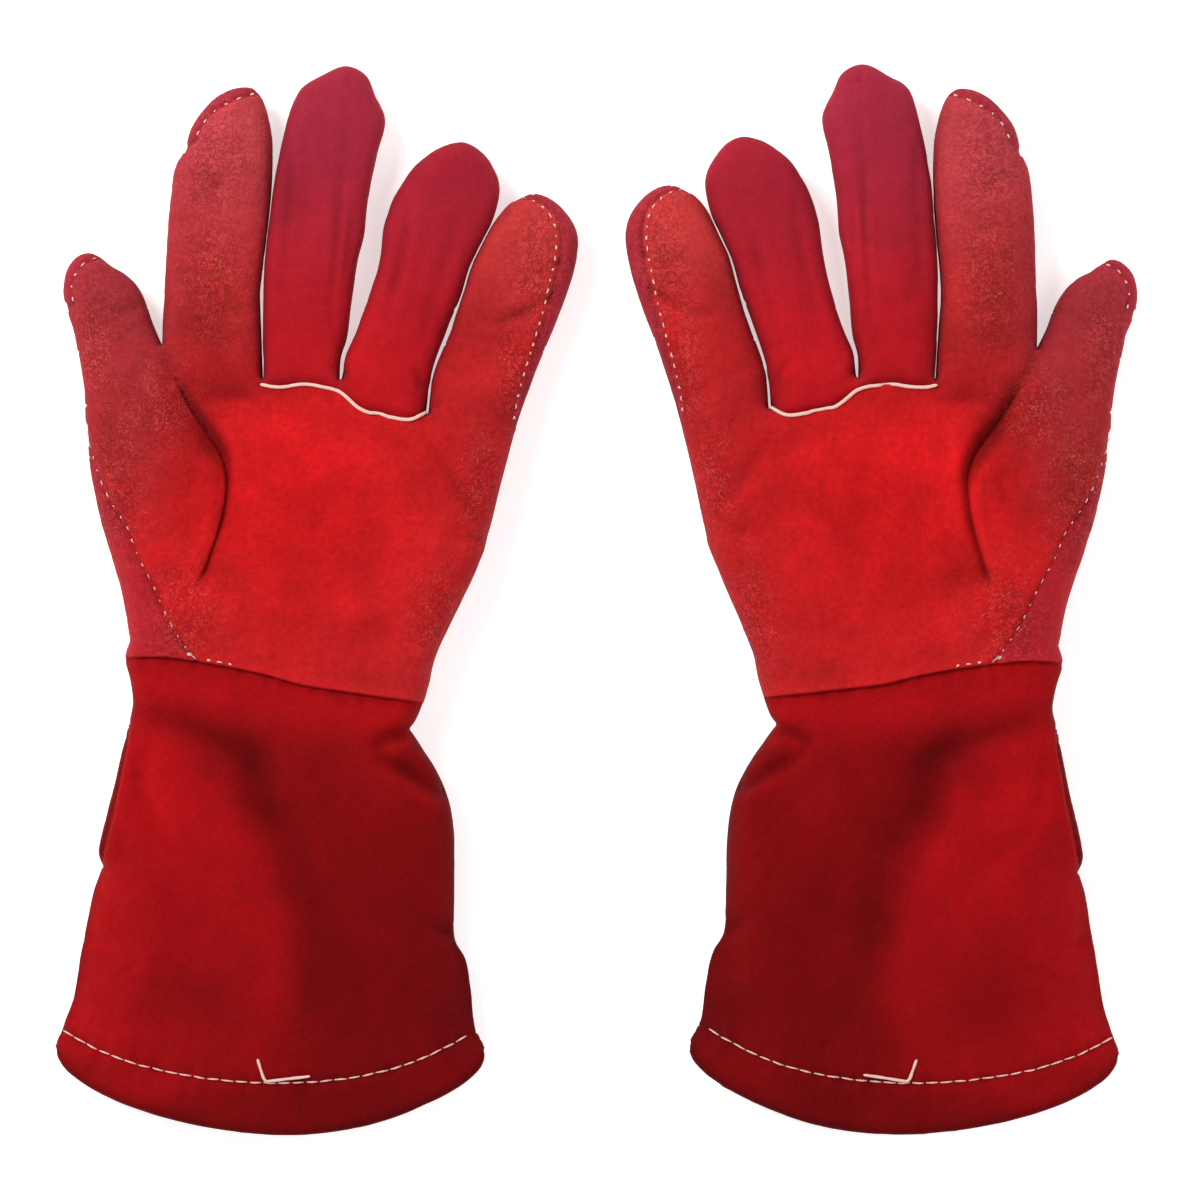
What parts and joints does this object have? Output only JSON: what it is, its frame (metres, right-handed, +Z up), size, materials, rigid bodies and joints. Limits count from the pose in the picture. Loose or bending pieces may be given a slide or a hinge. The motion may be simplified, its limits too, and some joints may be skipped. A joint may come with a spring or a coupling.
{
  "type": "welding gloves",
  "caption": "Pair of long red split-leather welding gauntlets lying palm up, with hinged fingers, thumbs and flared cuffs.",
  "frame": {"origin": "on the table under the middle of the pair", "axes": "+X from the left-hand glove to the right-hand glove, +Y from the cuffs towards the fingertips, +Z up out of the palms"},
  "size_m": [0.3608, 0.3561, 0.0299],
  "materials": {
    "rough_leather": "napped suede",
    "smooth_leather": "brushed suede",
    "cuff_leather": "brushed suede",
    "lining": "cotton fleece",
    "thread": "spun aramid"
  },
  "bodies": {
    "left_hand": {"left_palm_panel": "rough_leather", "left_hand_back_panel": "rough_leather", "left_finger_base_welt": "thread", "left_hand_lining": "lining"},
    "left_index_base": {"left_index_front_lower": "rough_leather", "left_index_back_lower": "rough_leather"},
    "left_index_tip": {"left_index_front_upper": "rough_leather", "left_index_back_upper": "rough_leather"},
    "left_middle_base": {"left_middle_front_lower": "smooth_leather", "left_middle_back_lower": "smooth_leather"},
    "left_middle_tip": {"left_middle_front_upper": "smooth_leather", "left_middle_back_upper": "smooth_leather"},
    "left_ring_base": {"left_ring_front_lower": "smooth_leather", "left_ring_back_lower": "smooth_leather"},
    "left_ring_tip": {"left_ring_front_upper": "smooth_leather", "left_ring_back_upper": "smooth_leather"},
    "left_little_base": {"left_little_front_lower": "rough_leather", "left_little_back_lower": "rough_leather"},
    "left_little_tip": {"left_little_front_upper": "rough_leather", "left_little_back_upper": "rough_leather"},
    "left_thumb_base": {"left_thumb_front_lower": "rough_leather", "left_thumb_back_lower": "rough_leather"},
    "left_thumb_tip": {"left_thumb_front_upper": "rough_leather", "left_thumb_back_upper": "rough_leather"},
    "left_cuff": {"left_cuff_front_panel": "cuff_leather", "left_cuff_back_panel": "cuff_leather", "left_cuff_lining": "lining", "left_hem_thread": "thread", "left_thread_tail": "thread"},
    "right_hand": {"right_palm_panel": "rough_leather", "right_hand_back_panel": "rough_leather", "right_finger_base_welt": "thread", "right_hand_lining": "lining"},
    "right_index_base": {"right_index_front_lower": "rough_leather", "right_index_back_lower": "rough_leather"},
    "right_index_tip": {"right_index_front_upper": "rough_leather", "right_index_back_upper": "rough_leather"},
    "right_middle_base": {"right_middle_front_lower": "smooth_leather", "right_middle_back_lower": "smooth_leather"},
    "right_middle_tip": {"right_middle_front_upper": "smooth_leather", "right_middle_back_upper": "smooth_leather"},
    "right_ring_base": {"right_ring_front_lower": "smooth_leather", "right_ring_back_lower": "smooth_leather"},
    "right_ring_tip": {"right_ring_front_upper": "smooth_leather", "right_ring_back_upper": "smooth_leather"},
    "right_little_base": {"right_little_front_lower": "rough_leather", "right_little_back_lower": "rough_leather"},
    "right_little_tip": {"right_little_front_upper": "rough_leather", "right_little_back_upper": "rough_leather"},
    "right_thumb_base": {"right_thumb_front_lower": "rough_leather", "right_thumb_back_lower": "rough_leather"},
    "right_thumb_tip": {"right_thumb_front_upper": "rough_leather", "right_thumb_back_upper": "rough_leather"},
    "right_cuff": {"right_cuff_front_panel": "cuff_leather", "right_cuff_back_panel": "cuff_leather", "right_cuff_lining": "lining", "right_hem_thread": "thread", "right_thread_tail": "thread"}
  },
  "joints": [
    {"name": "left_index_knuckle", "type": "hinge", "parent": "left_hand", "child": "left_index_base", "pos_m": [-0.1289, 0.08665, 0.02], "axis": [0.9985, -0.0541, 0], "range_deg": [0, 60], "stiffness_Nm_per_rad": 0.03},
    {"name": "left_index_middle_joint", "type": "hinge", "parent": "left_index_base", "child": "left_index_tip", "pos_m": [-0.12685, 0.12459, 0.02], "axis": [0.9985, -0.0541, 0], "range_deg": [0, 60], "stiffness_Nm_per_rad": 0.03},
    {"name": "left_middle_knuckle", "type": "hinge", "parent": "left_hand", "child": "left_middle_base", "pos_m": [-0.09796, 0.08297, 0.02], "axis": [0.9985, -0.0541, 0], "range_deg": [0, 60], "stiffness_Nm_per_rad": 0.03},
    {"name": "left_middle_middle_joint", "type": "hinge", "parent": "left_middle_base", "child": "left_middle_tip", "pos_m": [-0.0936, 0.12279, 0.02], "axis": [0.9985, -0.0541, 0], "range_deg": [0, 60], "stiffness_Nm_per_rad": 0.03},
    {"name": "left_ring_knuckle", "type": "hinge", "parent": "left_hand", "child": "left_ring_base", "pos_m": [-0.06977, 0.07644, 0.02], "axis": [0.9985, -0.0541, 0], "range_deg": [0, 60], "stiffness_Nm_per_rad": 0.03},
    {"name": "left_ring_middle_joint", "type": "hinge", "parent": "left_ring_base", "child": "left_ring_tip", "pos_m": [-0.05774, 0.10984, 0.02], "axis": [0.9985, -0.0541, 0], "range_deg": [0, 60], "stiffness_Nm_per_rad": 0.03},
    {"name": "left_little_knuckle", "type": "hinge", "parent": "left_hand", "child": "left_little_base", "pos_m": [-0.03905, 0.06676, 0.02], "axis": [0.9985, -0.0541, 0], "range_deg": [0, 60], "stiffness_Nm_per_rad": 0.03},
    {"name": "left_little_middle_joint", "type": "hinge", "parent": "left_little_base", "child": "left_little_tip", "pos_m": [-0.02904, 0.09626, 0.02], "axis": [0.9985, -0.0541, 0], "range_deg": [0, 60], "stiffness_Nm_per_rad": 0.03},
    {"name": "left_thumb_knuckle", "type": "hinge", "parent": "left_hand", "child": "left_thumb_base", "pos_m": [-0.15898, 0.07862, 0.022], "axis": [0.7997, 0.6004, 0], "range_deg": [0, 60], "stiffness_Nm_per_rad": 0.04},
    {"name": "left_thumb_joint", "type": "hinge", "parent": "left_thumb_base", "child": "left_thumb_tip", "pos_m": [-0.16339, 0.09513, 0.022], "axis": [0.9461, 0.3239, 0], "range_deg": [0, 45], "stiffness_Nm_per_rad": 0.03},
    {"name": "left_wrist", "type": "hinge", "parent": "left_hand", "child": "left_cuff", "pos_m": [-0.10711, -0.0287, 0.028], "axis": [-0.9985, 0.0541, 0], "range_deg": [0, 45], "stiffness_Nm_per_rad": 0.2},
    {"name": "gloves_apart", "type": "slide", "parent": "left_hand", "child": "right_hand", "axis": [1, 0, 0], "range_m": [0, 0.1]},
    {"name": "right_index_knuckle", "type": "hinge", "parent": "right_hand", "child": "right_index_base", "pos_m": [0.13109, 0.08582, 0.02], "axis": [0.9998, 0.0192, 0], "range_deg": [0, 60], "stiffness_Nm_per_rad": 0.03},
    {"name": "right_index_middle_joint", "type": "hinge", "parent": "right_index_base", "child": "right_index_tip", "pos_m": [0.13037, 0.12381, 0.02], "axis": [0.9998, 0.0192, 0], "range_deg": [0, 60], "stiffness_Nm_per_rad": 0.03},
    {"name": "right_middle_knuckle", "type": "hinge", "parent": "right_hand", "child": "right_middle_base", "pos_m": [0.10004, 0.08322, 0.02], "axis": [0.9998, 0.0192, 0], "range_deg": [0, 60], "stiffness_Nm_per_rad": 0.03},
    {"name": "right_middle_middle_joint", "type": "hinge", "parent": "right_middle_base", "child": "right_middle_tip", "pos_m": [0.09707, 0.12317, 0.02], "axis": [0.9998, 0.0192, 0], "range_deg": [0, 60], "stiffness_Nm_per_rad": 0.03},
    {"name": "right_ring_knuckle", "type": "hinge", "parent": "right_hand", "child": "right_ring_base", "pos_m": [0.07164, 0.07767, 0.02], "axis": [0.9998, 0.0192, 0], "range_deg": [0, 60], "stiffness_Nm_per_rad": 0.03},
    {"name": "right_ring_middle_joint", "type": "hinge", "parent": "right_ring_base", "child": "right_ring_tip", "pos_m": [0.06079, 0.11147, 0.02], "axis": [0.9998, 0.0192, 0], "range_deg": [0, 60], "stiffness_Nm_per_rad": 0.03},
    {"name": "right_little_knuckle", "type": "hinge", "parent": "right_hand", "child": "right_little_base", "pos_m": [0.0406, 0.06908, 0.02], "axis": [0.9998, 0.0192, 0], "range_deg": [0, 60], "stiffness_Nm_per_rad": 0.03},
    {"name": "right_little_middle_joint", "type": "hinge", "parent": "right_little_base", "child": "right_little_tip", "pos_m": [0.03163, 0.09891, 0.02], "axis": [0.9998, 0.0192, 0], "range_deg": [0, 60], "stiffness_Nm_per_rad": 0.03},
    {"name": "right_thumb_knuckle", "type": "hinge", "parent": "right_hand", "child": "right_thumb_base", "pos_m": [0.16087, 0.07674, 0.022], "axis": [0.7782, -0.628, 0], "range_deg": [0, 60], "stiffness_Nm_per_rad": 0.04},
    {"name": "right_thumb_joint", "type": "hinge", "parent": "right_thumb_base", "child": "right_thumb_tip", "pos_m": [0.16586, 0.09309, 0.022], "axis": [0.9342, -0.3567, 0], "range_deg": [0, 45], "stiffness_Nm_per_rad": 0.03},
    {"name": "right_wrist", "type": "hinge", "parent": "right_hand", "child": "right_cuff", "pos_m": [0.10529, -0.0287, 0.028], "axis": [-0.9998, -0.0192, 0], "range_deg": [0, 45], "stiffness_Nm_per_rad": 0.2}
  ]
}
